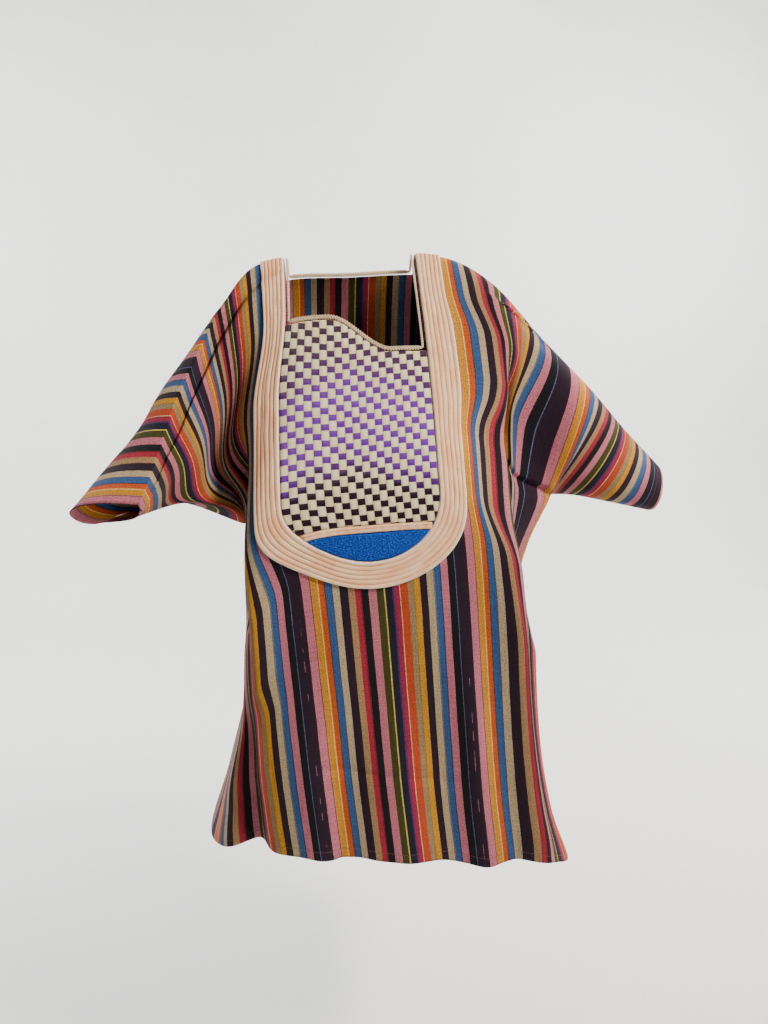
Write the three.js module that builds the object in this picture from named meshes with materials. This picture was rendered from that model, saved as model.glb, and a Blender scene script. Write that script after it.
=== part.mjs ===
// A short striped kaftan as it hangs on a standing figure. Millimetres, +Z up, front towards -Y,
// +X to the viewer's right. The origin is the middle of the shoulder line, where the wearer holds it.
//
// Front and back are cut from one width of cloth with the sleeves in one, so every point of the cloth
// has a flat place (u across the warp from the yoke's centre, t down from the shoulder line), and the
// worn form is a function of that place. What is sewn on the front uses the same function, moved out.
import * as THREE from "three";

// ---- driving sizes, mm ----
const WALL = 1.6; // cloth, doubled at the hems
const SEAM_GAP = 0.3; // air between two pieces that are sewn together
const LENGTH = 690; // shoulder line to hem
const ARM_DEPTH = 200; // shoulder line to underarm, flat
const ARM_HALF = 315; // centre to underarm, flat
const CUFF_LEFT = -427; // the left sleeve is swung forward
const CUFF_RIGHT = 450;
const FRONT_FLAT = 165; // the middle that keeps its true width on a ring; the rest eases round the side

const NECK_HALF = 75.5; // half width of the neck opening
const NECK_LEFT = 73; // depth of the opening at its left corner
const NECK_RIGHT = 111; // and at its right corner
const NECK_S_START = -28; // where the neckline leaves its level left part
const NECK_S_WIDTH = 66; // and how far across it drops to the right corner
const BACK_NECK = 26; // depth of the opening behind
const BAND_WIDTH = 30;
const BAND_EDGE = 1; // cloth that shows between the opening and the band
const BAND_INNER = NECK_HALF + BAND_EDGE;
const BAND_OUTER = BAND_INNER + BAND_WIDTH;
const BAND_STRAIGHT = 255; // where the band's sides turn into its round bottom
const BAND_ROUND = 76; // depth of that round along the inner edge
const BAND_ROWS = 6; // sewn rows across the band
const BAND_THICK = 1.8;
const ROW_RISE = 0.8;
const YOKE_THICK = 1.5;
const BAR_TOP = 292;
const BAR_DEPTH = 8;
const BAR_THICK = 2.2;
const CRESCENT_THICK = 2.0;
const CORD_DIAMETER = 4;
const CORD_SIDES = 8;
const CORD_CLEAR = 1.2; // between a cord and the edge it follows
const PANEL_CLEAR = 1.2; // from a panel's form to what is sewn on it

// ---- short tables ----
// The shoulder line and how the cloth leaves it: f* is the pull into the front, b* into the back.
const SHOULDER = {
  columns: ["u", "x", "y", "z", "fx", "fy", "fz", "bx", "by", "bz"],
  rows: [
    [-427, -219, -158, -213, -6, 30, -22, -92, 6, 14],
    [-377, -206, -125, -180, 6, 28, -40, -92, 14, 8],
    [-308, -187, -85, -129, 8, 16, -52, -92, 24, 4],
    [-248, -166, -52, -87, 4, 0, -56, -68, 30, -4],
    [-180, -140, -22, -41, 4, -24, -44, -28, 34, -10],
    [-107, -99, 0, -1, 0, -32, -40, 0, 38, -34],
    [0, -4, 0, 1, 0, -32, -40, 0, 40, -32],
    [107, 93, 0, -1, 0, -32, -40, 0, 38, -34],
    [175, 148, -6, -30, 2, -48, -14, 4, 40, -12],
    [247, 206, -12, -94, 0, -46, -14, 6, 40, -10],
    [300, 262, -8, -150, -2, -44, -10, 6, 40, -8],
    [375, 312, 8, -202, -4, -42, -8, 6, 38, -6],
    [450, 366, 25, -254, -4, -36, -4, 6, 34, -4],
  ],
};
// The sleeve seams: t is the flat depth there, f* and b* the pull of front and back into the seam.
const SLEEVE_SEAM = {
  columns: ["u", "t", "x", "y", "z", "fx", "fy", "fz", "bx", "by", "bz"],
  rows: [
    [-427, 145, -278, -88, -246, 34, 22, -6, -20, -18, 2],
    [-370, 172, -208, -50, -238, 26, -6, -6, -52, 10, 2],
    [-315, 200, -138, -4, -282, 10, -46, 30, -10, 46, 30],
    [315, 200, 218, 0, -274, 0, -46, 34, 0, 46, 34],
    [380, 174, 270, 14, -284, 0, -52, 0, 4, 46, 0],
    [450, 145, 354, 30, -310, 0, -46, 0, 4, 42, 0],
  ],
};
// Rings of the body below the arms: the middle's x, half widths left and right, depths front and
// back, squareness of the left and right round, and heights at middle front, middle back and sides.
const RINGS = {
  columns: [
    "t", "middle", "left", "right", "front", "back", "squareLeft", "squareRight",
    "zFront", "zBack", "zLeft", "zRight",
  ],
  rows: [
    [200, -9, 129, 227, 86, 92, 4.0, 2.8, -176, -176, -281, -273],
    [260, -10, 132, 202, 109, 98, 10, 5.0, -231, -236, -326, -326],
    [340, -4, 142, 180, 115, 100, 14, 12, -309, -314, -392, -400],
    [480, 1, 164, 178, 117, 104, 8.0, 14, -448, -452, -514, -530],
    [600, 5, 199, 189, 126, 112, 3.8, 12, -565, -568, -612, -632],
    [690, 10, 226, 205, 138, 120, 2.8, 9, -652, -654, -666, -697],
  ],
};
// Folds: how far the cloth moves along a line between two flat places of one panel, fading to
// nothing over its width and at its ends.
const FOLDS = {
  columns: ["side", "u0", "t0", "u1", "t1", "width", "x", "y", "z"],
  rows: [
    ["front", 192, 70, 220, 380, 38, -22, 26, 0],
    ["front", 230, 20, 262, 380, 50, -32, 10, 0],
    ["front", 152, 250, 158, 800, 34, 11, -10, 0],
    ["front", 140, 40, 140, 200, 60, 9, -3, 0],
    ["front", 150, 130, 150, 310, 50, -12, 4, 0],
    ["front", -158, 110, -196, 350, 45, 18, 25, 0],
    ["front", -120, 60, -108, 348, 90, -14, -8, 0],
    ["front", -136, 270, -134, 490, 30, -7, -6, 0],
    ["front", -110, 136, -430, 94, 60, -16, 0, -11],
    ["front", -172, 380, -182, 990, 36, 12, 22, 0],
    ["front", -165, 380, -150, 990, 190, 0, 0, 22],
    ["front", 85, 380, 85, 990, 110, 0, 0, -11],
    ["front", -50, 470, -56, 960, 34, 0, 7, 0],
    ["front", 45, 430, 52, 960, 36, 0, 6, 0],
    ["back", 175, 60, 215, 350, 48, -14, -20, 0],
    ["back", -175, 60, -215, 350, 48, 14, -20, 0],
    ["back", -30, 430, -40, 960, 40, 0, -8, 0],
    ["back", 70, 460, 84, 960, 40, 0, -8, 0],
  ],
};

// ---- small helpers ----
const clamp01 = (v) => Math.min(1, Math.max(0, v));
const smooth = (v) => {
  const c = clamp01(v);
  return c * c * (3 - 2 * c);
};
const mix = (a, b, w) => a + (b - a) * w;
const vec = (x, y, z) => new THREE.Vector3(x, y, z);

// A table's row at any key, by a smooth curve through its rows.
function tableAt(table, key) {
  const rows = table.rows;
  const last = rows.length - 1;
  const k = Math.min(last, Math.max(0, key < rows[0][0] ? 0 : rows.findIndex((r) => r[0] >= key)));
  const i = key <= rows[0][0] ? 0 : key >= rows[last][0] ? last - 1 : k - 1;
  const [a, b] = [rows[i], rows[i + 1]];
  const before = rows[Math.max(0, i - 1)];
  const after = rows[Math.min(last, i + 2)];
  const h = b[0] - a[0];
  const w = clamp01((key - a[0]) / h);
  const found = {};
  table.columns.forEach((name, c) => {
    const startSlope = ((b[c] - before[c]) / (b[0] - before[0])) * h;
    const endSlope = ((after[c] - a[c]) / (after[0] - a[0])) * h;
    found[name] =
      (2 * w ** 3 - 3 * w ** 2 + 1) * a[c] +
      (w ** 3 - 2 * w ** 2 + w) * startSlope +
      (3 * w ** 2 - 2 * w ** 3) * b[c] +
      (w ** 3 - w ** 2) * endSlope;
  });
  return found;
}

// The point at a share of a polyline's length.
function alongPolyline(points, share) {
  const reach = [0];
  for (let i = 1; i < points.length; i++) reach.push(reach[i - 1] + points[i].distanceTo(points[i - 1]));
  const goal = share * reach[reach.length - 1];
  let i = 1;
  while (i < points.length - 1 && reach[i] < goal) i++;
  const w = (goal - reach[i - 1]) / (reach[i] - reach[i - 1]);
  return points[i - 1].clone().lerp(points[i], w);
}

// ---- the worn form ----
const RING_STEPS = 28;
const SHOULDER_STEPS = 20;
const CORNER_EASE = 60; // how far in from the underarm the cloth turns towards the sleeve seam
const ARRIVE_PULL = 60; // how straight the shoulder stretch runs on into the body's fall
const FALL_STEP = 4; // flat step that the direction of that fall is taken over

function ringPoint(side, u, t) {
  const ring = tableAt(RINGS, t);
  const half = u < 0 ? ring.left : ring.right;
  const square = u < 0 ? ring.squareLeft : ring.squareRight;
  const depth = side === "front" ? -ring.front : ring.back;
  const zMiddle = side === "front" ? ring.zFront : ring.zBack;
  const zSide = u < 0 ? ring.zLeft : ring.zRight;
  const turn = u < 0 ? -1 : 1;
  const quarter = [];
  for (let i = 0; i <= RING_STEPS; i++) {
    const a = (i / RING_STEPS) * (Math.PI / 2);
    const r = (Math.sin(a) ** square + Math.cos(a) ** square) ** (-1 / square);
    const across = r * Math.sin(a);
    const z = mix(zMiddle, zSide, across ** 4);
    quarter.push(vec(ring.middle + turn * half * across, depth * r * Math.cos(a), z));
  }
  let round = 0;
  for (let i = 1; i <= RING_STEPS; i++) round += quarter[i].distanceTo(quarter[i - 1]);
  const reach = Math.abs(u);
  const eased =
    reach < FRONT_FLAT
      ? reach
      : FRONT_FLAT + ((reach - FRONT_FLAT) / (ARM_HALF - FRONT_FLAT)) * (round - FRONT_FLAT);
  return alongPolyline(quarter, clamp01(eased / round));
}

// Flat depth of the seam or level that ends the shoulder stretch of a warp thread.
function footDepth(u) {
  return Math.abs(u) <= ARM_HALF ? ARM_DEPTH : tableAt(SLEEVE_SEAM, u).t;
}

function shoulderPoint(side, u, t) {
  const top = tableAt(SHOULDER, u);
  const key = side === "front" ? "f" : "b";
  const start = vec(top.x, top.y, top.z);
  const leave = start.clone().add(vec(top[key + "x"], top[key + "y"], top[key + "z"]));
  let foot;
  let arrive;
  if (Math.abs(u) <= ARM_HALF) {
    foot = ringPoint(side, u, ARM_DEPTH);
    const below = ringPoint(side, u, ARM_DEPTH + FALL_STEP);
    arrive = foot.clone().addScaledVector(below.sub(foot).normalize(), -ARRIVE_PULL);
    const corner = tableAt(SLEEVE_SEAM, Math.sign(u) * ARM_HALF);
    const pulled = foot.clone().add(vec(corner[key + "x"], corner[key + "y"], corner[key + "z"]));
    arrive.lerp(pulled, smooth((Math.abs(u) - ARM_HALF + CORNER_EASE) / CORNER_EASE));
  } else {
    const seam = tableAt(SLEEVE_SEAM, u);
    foot = vec(seam.x, seam.y, seam.z);
    arrive = foot.clone().add(vec(seam[key + "x"], seam[key + "y"], seam[key + "z"]));
  }
  const curve = new THREE.CubicBezierCurve3(start, leave, arrive, foot);
  return alongPolyline(curve.getPoints(SHOULDER_STEPS), clamp01(t / footDepth(u)));
}

function plainPoint(side, u, t) {
  return t <= footDepth(u) || Math.abs(u) > ARM_HALF ? shoulderPoint(side, u, t) : ringPoint(side, u, t);
}

// How far the folds move a flat place from the plain form.
function foldShift(side, u, t) {
  const shift = vec(0, 0, 0);
  for (const [on, u0, t0, u1, t1, width, x, y, z] of FOLDS.rows) {
    if (on !== side) continue;
    const [du, dt] = [u1 - u0, t1 - t0];
    const along = ((u - u0) * du + (t - t0) * dt) / (du * du + dt * dt);
    const off = ((u - u0) * dt - (t - t0) * du) / Math.hypot(du, dt);
    const share = smooth(along / 0.3) * smooth((1 - along) / 0.3) * Math.exp(-((off / (0.6 * width)) ** 2));
    shift.addScaledVector(vec(x, y, z), share);
  }
  return shift;
}

function clothPoint(side, u, t) {
  return plainPoint(side, u, t).add(foldShift(side, u, t));
}

const PROBE = 3;
function outward(side, u, t) {
  const inSkirt = t > ARM_DEPTH - PROBE && Math.abs(u) <= ARM_HALF;
  const [low, high] = inSkirt ? [-ARM_HALF, ARM_HALF] : [CUFF_LEFT, CUFF_RIGHT];
  const uIn = Math.min(high - PROBE, Math.max(low + PROBE, u));
  const last = (Math.abs(u) > ARM_HALF ? footDepth(u) : LENGTH) - PROBE;
  const tIn = Math.min(last, Math.max(PROBE, t));
  const across = clothPoint(side, uIn + PROBE, tIn).sub(clothPoint(side, uIn - PROBE, tIn));
  const down = clothPoint(side, uIn, tIn + PROBE).sub(clothPoint(side, uIn, tIn - PROBE));
  const normal = side === "front" ? down.cross(across) : across.cross(down);
  return normal.normalize();
}

// ---- solids ----
const isSeam = (u, t) =>
  t < 1 ||
  (Math.abs(u) > ARM_HALF - 1 && t > ARM_DEPTH - 1) ||
  (Math.abs(u) >= ARM_HALF && t > footDepth(u) - 1);

// The way and reach of a wall's inner face from its outer face: on a seam it halves the angle
// between front and back, so that the two walls meet edge to edge.
const MITRE_LEAST = 0.45;
function wallWay(side, u, t) {
  const own = outward(side, u, t);
  if (!isSeam(u, t)) return own;
  const other = outward(side === "front" ? "back" : "front", u, t);
  const halved = own.clone().add(other).normalize();
  return halved.multiplyScalar(1 / Math.max(MITRE_LEAST, halved.dot(own)));
}

// A closed wall over a grid of flat places: its outer face stands lift + thick + rise off the
// cloth's form and its inner face stands lift off it. Cells that touch a null place are left out.
function wallSolid(side, places, lift, thick, rise = () => 0) {
  const outer = [];
  const inner = [];
  const numbers = places.map((row) =>
    row.map((place) => {
      if (!place) return -1;
      const [u, t] = place;
      const point = clothPoint(side, u, t);
      const way = wallWay(side, u, t);
      outer.push(point.clone().addScaledVector(way, lift + thick + rise(place)));
      inner.push(point.clone().addScaledVector(way, lift));
      return outer.length - 1;
    }),
  );
  const count = outer.length;
  const faces = [];
  const edges = new Map();
  const addFace = (a, b, c) => faces.push(...(side === "front" ? [a, c, b] : [a, b, c]));
  for (let j = 0; j + 1 < numbers.length; j++) {
    for (let i = 0; i + 1 < numbers[j].length; i++) {
      const loop = [numbers[j][i], numbers[j][i + 1], numbers[j + 1][i + 1], numbers[j + 1][i]];
      if (loop.some((n) => n < 0)) continue;
      const [a, b, c, d] = loop;
      addFace(a, b, c);
      addFace(a, c, d);
      addFace(count + a, count + c, count + b);
      addFace(count + a, count + d, count + c);
      loop.forEach((from, k) => {
        const to = loop[(k + 1) % 4];
        if (edges.has(to + "-" + from)) edges.delete(to + "-" + from);
        else edges.set(from + "-" + to, [from, to]);
      });
    }
  }
  for (const [from, to] of edges.values()) {
    addFace(from, count + from, count + to);
    addFace(from, count + to, to);
  }
  const points = [...outer, ...inner].flatMap((p) => p.toArray());
  const geometry = new THREE.BufferGeometry();
  geometry.setAttribute("position", new THREE.Float32BufferAttribute(points, 3));
  geometry.setIndex(faces);
  geometry.computeVertexNormals();
  return geometry;
}

// count stations from `from` up to, and without, `to`.
const steps = (from, to, count) => Array.from({ length: count }, (_, i) => mix(from, to, i / count));

// The neck edge of the front: level at the left, then an S down to the right corner.
function neckline(u) {
  return mix(NECK_LEFT, NECK_RIGHT, smooth((u - NECK_S_START) / NECK_S_WIDTH));
}

const SKIRT_SPREAD = 1.25; // rows of the skirt stand closer near the underarm

// One panel: rows beside the neck opening, rows from there to the underarm, and rows of the skirt.
function panelPlaces(side, besideRows, yokeRows, skirtRows) {
  const stations = [
    ...steps(CUFF_LEFT, -ARM_HALF, 6),
    -ARM_HALF,
    ...steps(-ARM_HALF + SEAM_GAP, -260, 3),
    ...steps(-260, -BAND_OUTER, 12),
    ...steps(-BAND_OUTER, -NECK_HALF, 2),
    ...steps(-NECK_HALF, NECK_HALF, 10),
    ...steps(NECK_HALF, BAND_OUTER, 2),
    ...steps(BAND_OUTER, 270, 13),
    ...steps(270, ARM_HALF - SEAM_GAP, 3),
    ARM_HALF - SEAM_GAP,
    ...steps(ARM_HALF, CUFF_RIGHT, 7),
    CUFF_RIGHT,
  ].filter((u) => Math.abs(u) !== ARM_HALF);
  const opening = (u) => {
    if (side === "back") return BACK_NECK;
    return neckline(Math.min(NECK_HALF, Math.max(-NECK_HALF, u)));
  };
  const inBody = (u) => Math.abs(u) < ARM_HALF;
  const inNeck = (u) => Math.abs(u) < NECK_HALF - 1;
  const foot = (u) => (inBody(u) ? ARM_DEPTH : footDepth(u) - SEAM_GAP);
  const breakAt = (u) => (opening(u) * foot(u)) / ARM_DEPTH;
  const rows = [];
  for (let j = 0; j < besideRows; j++) {
    rows.push(stations.map((u) => (inNeck(u) ? null : [u, mix(SEAM_GAP, breakAt(u), j / besideRows)])));
  }
  for (let j = 0; j <= yokeRows; j++) {
    rows.push(stations.map((u) => [u, mix(breakAt(u), foot(u), j / yokeRows)]));
  }
  for (let j = 1; j <= skirtRows; j++) {
    const t = mix(ARM_DEPTH, LENGTH, (j / skirtRows) ** SKIRT_SPREAD);
    rows.push(stations.map((u) => (inBody(u) ? [u, t] : null)));
  }
  return rows;
}

// A ribbon beside an edge: each stop of the edge has a place and a way out across the ribbon, and
// each place of the ribbon carries its distance from the edge.
function ribbonPlaces(edge, width, lanes) {
  return edge.map(({ place, out }) =>
    Array.from({ length: lanes + 1 }, (_, k) => {
      const off = width * (1 - k / lanes);
      return [place[0] + out[0] * off, place[1] + out[1] * off, off];
    }),
  );
}

// The run of an edge round an opening: down the left, round by a quarter ellipse to the level
// stretch at its bottom, and the same up the right.
function edgeRun(half, legEnd, legSteps, roundAcross, roundDown, cornerSteps, levelSteps) {
  const leg = [...steps(SEAM_GAP, legEnd, legSteps), legEnd];
  const inset = half - roundAcross;
  const corner = steps(0, Math.PI / 2, cornerSteps).slice(1);
  const left = [
    ...leg.map((t) => ({ place: [-half, t], out: [-1, 0] })),
    ...corner.map((a) => {
      const out = [-Math.cos(a) / roundAcross, Math.sin(a) / roundDown];
      const size = Math.hypot(...out);
      return {
        place: [-inset - roundAcross * Math.cos(a), legEnd + roundDown * Math.sin(a)],
        out: [out[0] / size, out[1] / size],
      };
    }),
  ];
  const level = (inset > 0 ? [...steps(-inset, inset, levelSteps), inset] : [0]).map((u) => ({
    place: [u, legEnd + roundDown],
    out: [0, 1],
  }));
  const right = left.map(({ place, out }) => ({ place: [-place[0], place[1]], out: [-out[0], out[1]] }));
  return [...left, ...level, ...right.reverse()];
}

// The rise of the sewn rows of a band over a place of its ribbon.
const sewnRows = ([, , off]) => ROW_RISE * Math.abs(Math.sin((off / BAND_WIDTH) * BAND_ROWS * Math.PI));

// A field inside the U: columns across, from a top line to a bottom line.
function fieldPlaces(half, topAt, bottomAt, columns, rows) {
  return Array.from({ length: rows + 1 }, (_, j) =>
    Array.from({ length: columns + 1 }, (_, i) => {
      const u = mix(-half, half, i / columns);
      return [u, mix(topAt(u), bottomAt(u), j / rows)];
    }),
  );
}
const FIELD_HALF = BAND_INNER - SEAM_GAP;
const FIELD_ROUND = BAND_ROUND - SEAM_GAP;
const roundBottom = (u) => BAND_STRAIGHT + FIELD_ROUND * Math.sqrt(Math.max(0, 1 - (u / FIELD_HALF) ** 2));
const chordAt = (t) => FIELD_HALF * Math.sqrt(1 - ((t - BAND_STRAIGHT) / FIELD_ROUND) ** 2);

// A cord through flat places, centred on the cloth's form.
function cordSolid(side, places, stepsAlong) {
  const points = places.map(([u, t]) => clothPoint(side, u, t));
  const radius = CORD_DIAMETER / 2;
  const section = new THREE.Shape(
    Array.from({ length: CORD_SIDES }, (_, k) => {
      const a = (k / CORD_SIDES) * 2 * Math.PI;
      return new THREE.Vector2(radius * Math.cos(a), radius * Math.sin(a));
    }),
  );
  const path = new THREE.CatmullRomCurve3(points, false, "centripetal");
  return new THREE.ExtrudeGeometry(section, { steps: stepsAlong, extrudePath: path });
}

const MATERIALS = {
  stripe: { color: "#5a3548", roughness: 0.9 },
  band: { color: "#e3cbb0", roughness: 0.6 },
  yoke: { color: "#a78fb4", roughness: 0.5 },
  crescent: { color: "#1f6fbe", roughness: 0.6 },
};

const group = new THREE.Group();
function addPiece(name, look, geometry) {
  const material = new THREE.MeshStandardMaterial({ ...MATERIALS[look], metalness: 0 });
  const mesh = new THREE.Mesh(geometry, material);
  mesh.name = name;
  group.add(mesh);
}

addPiece("front", "stripe", wallSolid("front", panelPlaces("front", 5, 7, 16), -WALL, WALL));
addPiece("back", "stripe", wallSolid("back", panelPlaces("back", 2, 8, 14), -WALL, WALL));

const frontEdge = edgeRun(BAND_INNER, BAND_STRAIGHT, 16, BAND_INNER, BAND_ROUND, 11, 0);
const frontRibbon = ribbonPlaces(frontEdge, BAND_WIDTH, BAND_ROWS * 2);
addPiece("neck_band", "band", wallSolid("front", frontRibbon, PANEL_CLEAR, BAND_THICK, sewnRows));
const backEdge = edgeRun(BAND_INNER, BACK_NECK, 2, BAND_EDGE, BAND_EDGE, 3, 8);
const backRibbon = ribbonPlaces(backEdge, BAND_WIDTH, BAND_ROWS * 2);
addPiece("back_neck_band", "band", wallSolid("back", backRibbon, PANEL_CLEAR, BAND_THICK, sewnRows));

const barBottom = BAR_TOP + BAR_DEPTH;
const yokeTop = (u) => neckline(u) + SEAM_GAP;
const yokeBottom = (u) => Math.min(BAR_TOP - SEAM_GAP, roundBottom(u));
const yokeField = fieldPlaces(FIELD_HALF - 1, yokeTop, yokeBottom, 16, 20);
addPiece("yoke_panel", "yoke", wallSolid("front", yokeField, PANEL_CLEAR, YOKE_THICK));
const barField = fieldPlaces(chordAt(barBottom) - 1, () => BAR_TOP, () => barBottom, 10, 1);
addPiece("yoke_bar", "band", wallSolid("front", barField, PANEL_CLEAR, BAR_THICK));
const crescentField = fieldPlaces(chordAt(barBottom) - 3, () => barBottom + SEAM_GAP, roundBottom, 14, 3);
addPiece("crescent", "crescent", wallSolid("front", crescentField, PANEL_CLEAR, CRESCENT_THICK));

// The cords run just inside the edge of the opening, from one shoulder to the other.
const cordIn = CORD_DIAMETER / 2 + CORD_CLEAR;
const cordU = NECK_HALF - cordIn;
const cordStart = CORD_DIAMETER * 0.8; // clear of the other cord across the shoulder line
const neckCord = [
  ...steps(cordStart, NECK_LEFT - cordIn - 3, 4).map((t) => [-cordU, t]),
  [-cordU, NECK_LEFT - cordIn - 3],
  ...steps(-cordU + 3, cordU - 3, 12).map((u) => [u, neckline(u) - cordIn]),
  [cordU - 3, NECK_RIGHT - cordIn],
  ...steps(cordStart, NECK_RIGHT - cordIn - 3, 5).map((t) => [cordU, t]).reverse(),
];
addPiece("neck_cord", "band", cordSolid("front", neckCord, 54));
const backCord = [
  ...[cordStart, 10, BACK_NECK - cordIn - 3].map((t) => [-cordU, t]),
  ...[...steps(-cordU + 3, cordU - 3, 10), cordU - 3].map((u) => [u, BACK_NECK - cordIn]),
  ...[BACK_NECK - cordIn - 3, 10, cordStart].map((t) => [cordU, t]),
];
addPiece("back_neck_cord", "band", cordSolid("back", backCord, 30));

export default group;
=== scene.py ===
"""A short striped kaftan with an embroidered yoke, as it hangs on a standing figure.

Every point of the cloth has a flat place (u across the warp from the yoke's centre, t down from the
shoulder line, in mm), and the worn form is a function of that place. The weave is drawn over the
flat places, so stripes run on over shoulders and folds as they do in woven cloth.
"""

import math

import bpy
import numpy as np
from mathutils import Matrix, Vector


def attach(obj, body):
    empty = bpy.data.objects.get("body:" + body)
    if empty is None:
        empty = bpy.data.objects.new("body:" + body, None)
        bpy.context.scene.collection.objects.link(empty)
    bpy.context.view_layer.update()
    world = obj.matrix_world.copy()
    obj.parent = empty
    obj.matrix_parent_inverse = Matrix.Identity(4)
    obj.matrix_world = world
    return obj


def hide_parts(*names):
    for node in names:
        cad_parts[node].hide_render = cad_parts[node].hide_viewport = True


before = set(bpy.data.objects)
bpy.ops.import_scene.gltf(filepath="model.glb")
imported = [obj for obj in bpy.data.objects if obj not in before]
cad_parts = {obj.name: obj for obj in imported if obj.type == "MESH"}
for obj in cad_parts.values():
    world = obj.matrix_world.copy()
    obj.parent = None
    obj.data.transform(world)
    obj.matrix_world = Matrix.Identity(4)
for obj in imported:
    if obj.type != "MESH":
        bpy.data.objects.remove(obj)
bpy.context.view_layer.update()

# ---- driving sizes, mm ----
LENGTH = 690  # shoulder line to hem
ARM_DEPTH = 200  # shoulder line to underarm, flat
ARM_HALF = 315  # centre to underarm, flat
CUFF_LEFT, CUFF_RIGHT = -427, 450
FRONT_FLAT = 165  # the middle that keeps its true width on a ring
CLOTH_THICK = 1.1
HEM_DEPTH = 11  # hem edge to its line of stitches

NECK_HALF = 75.5
NECK_LEFT, NECK_RIGHT = 73, 111  # depth of its corners in front
NECK_S_START, NECK_S_WIDTH = -28, 66  # where the edge drops from one to the other
BACK_NECK = 26
BAND_WIDTH = 30
BAND_EDGE = 1
BAND_INNER = NECK_HALF + BAND_EDGE
BAND_STRAIGHT, BAND_ROUND = 255, 76  # its straight sides, and the depth of the round below
BAND_ROWS = 6
ROW_WIDTH = BAND_WIDTH / BAND_ROWS
BAR_TOP, BAR_DEPTH = 292, 8
FIELD_GAP = 0.3  # between what is sewn in the yoke and the band round it
FIELD_HALF, FIELD_ROUND = BAND_INNER - FIELD_GAP, BAND_ROUND - FIELD_GAP
CORD_IN = 3.2  # cord's line inside the edge of the opening
CORD_HALF = NECK_HALF - CORD_IN
CORD_TOP = 0.5  # where the cord ends, below the shoulder line
CORD_STRAND = 1.5  # radius of one of its two strands along the neckline
CORD_SLIM = 0.55  # share of that radius up the sides
CORD_PITCH = 6

# ---- steps of the form, as in the solids ----
RING_STEPS = 28
SHOULDER_STEPS = 20
CORNER_EASE = 60  # how far in from the underarm the cloth turns towards the sleeve seam
ARRIVE_PULL = 60  # how straight the shoulder stretch runs on into the body's fall
FALL_STEP = 4.0  # flat step that the direction of that fall is taken over
PROBE = 3  # flat step that a surface's outward way is taken over
CREASE_EASE = 12  # how far from the shoulder line a crease has its full depth

# ---- the worn form: the tables of the solids ----
SHOULDER = np.array([  # u, x, y, z, pull into the front, pull into the back
    [-427, -219, -158, -213, -6, 30, -22, -92, 6, 14],
    [-377, -206, -125, -180, 6, 28, -40, -92, 14, 8],
    [-308, -187, -85, -129, 8, 16, -52, -92, 24, 4],
    [-248, -166, -52, -87, 4, 0, -56, -68, 30, -4],
    [-180, -140, -22, -41, 4, -24, -44, -28, 34, -10],
    [-107, -99, 0, -1, 0, -32, -40, 0, 38, -34],
    [0, -4, 0, 1, 0, -32, -40, 0, 40, -32],
    [107, 93, 0, -1, 0, -32, -40, 0, 38, -34],
    [175, 148, -6, -30, 2, -48, -14, 4, 40, -12],
    [247, 206, -12, -94, 0, -46, -14, 6, 40, -10],
    [300, 262, -8, -150, -2, -44, -10, 6, 40, -8],
    [375, 312, 8, -202, -4, -42, -8, 6, 38, -6],
    [450, 366, 25, -254, -4, -36, -4, 6, 34, -4],
], float)
SLEEVE_SEAM = np.array([  # u, t, x, y, z, pull of the front, pull of the back
    [-427, 145, -278, -88, -246, 34, 22, -6, -20, -18, 2],
    [-370, 172, -208, -50, -238, 26, -6, -6, -52, 10, 2],
    [-315, 200, -138, -4, -282, 10, -46, 30, -10, 46, 30],
    [315, 200, 218, 0, -274, 0, -46, 34, 0, 46, 34],
    [380, 174, 270, 14, -284, 0, -52, 0, 4, 46, 0],
    [450, 145, 354, 30, -310, 0, -46, 0, 4, 42, 0],
], float)
RINGS = np.array([  # t, middle, left, right, front, back, square l r, z front back left right
    [200, -9, 129, 227, 86, 92, 4.0, 2.8, -176, -176, -281, -273],
    [260, -10, 132, 202, 109, 98, 10, 5.0, -231, -236, -326, -326],
    [340, -4, 142, 180, 115, 100, 14, 12, -309, -314, -392, -400],
    [480, 1, 164, 178, 117, 104, 8.0, 14, -448, -452, -514, -530],
    [600, 5, 199, 189, 126, 112, 3.8, 12, -565, -568, -612, -632],
    [690, 10, 226, 205, 138, 120, 2.8, 9, -652, -654, -666, -697],
], float)
FOLDS = [  # side, u0, t0, u1, t1, width, then how far the cloth moves
    ("front", 192, 70, 220, 380, 38, -22, 26, 0),
    ("front", 230, 20, 262, 380, 50, -32, 10, 0),
    ("front", 152, 250, 158, 800, 34, 11, -10, 0),
    ("front", 140, 40, 140, 200, 60, 9, -3, 0),
    ("front", 150, 130, 150, 310, 50, -12, 4, 0),
    ("front", -158, 110, -196, 350, 45, 18, 25, 0),
    ("front", -120, 60, -108, 348, 90, -14, -8, 0),
    ("front", -136, 270, -134, 490, 30, -7, -6, 0),
    ("front", -110, 136, -430, 94, 60, -16, 0, -11),
    ("front", -172, 380, -182, 990, 36, 12, 22, 0),
    ("front", -165, 380, -150, 990, 190, 0, 0, 22),
    ("front", 85, 380, 85, 990, 110, 0, 0, -11),
    ("front", -50, 470, -56, 960, 34, 0, 7, 0),
    ("front", 45, 430, 52, 960, 36, 0, 6, 0),
    ("back", 175, 60, 215, 350, 48, -14, -20, 0),
    ("back", -175, 60, -215, 350, 48, 14, -20, 0),
    ("back", -30, 430, -40, 960, 40, 0, -8, 0),
    ("back", 70, 460, 84, 960, 40, 0, -8, 0),
]
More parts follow.
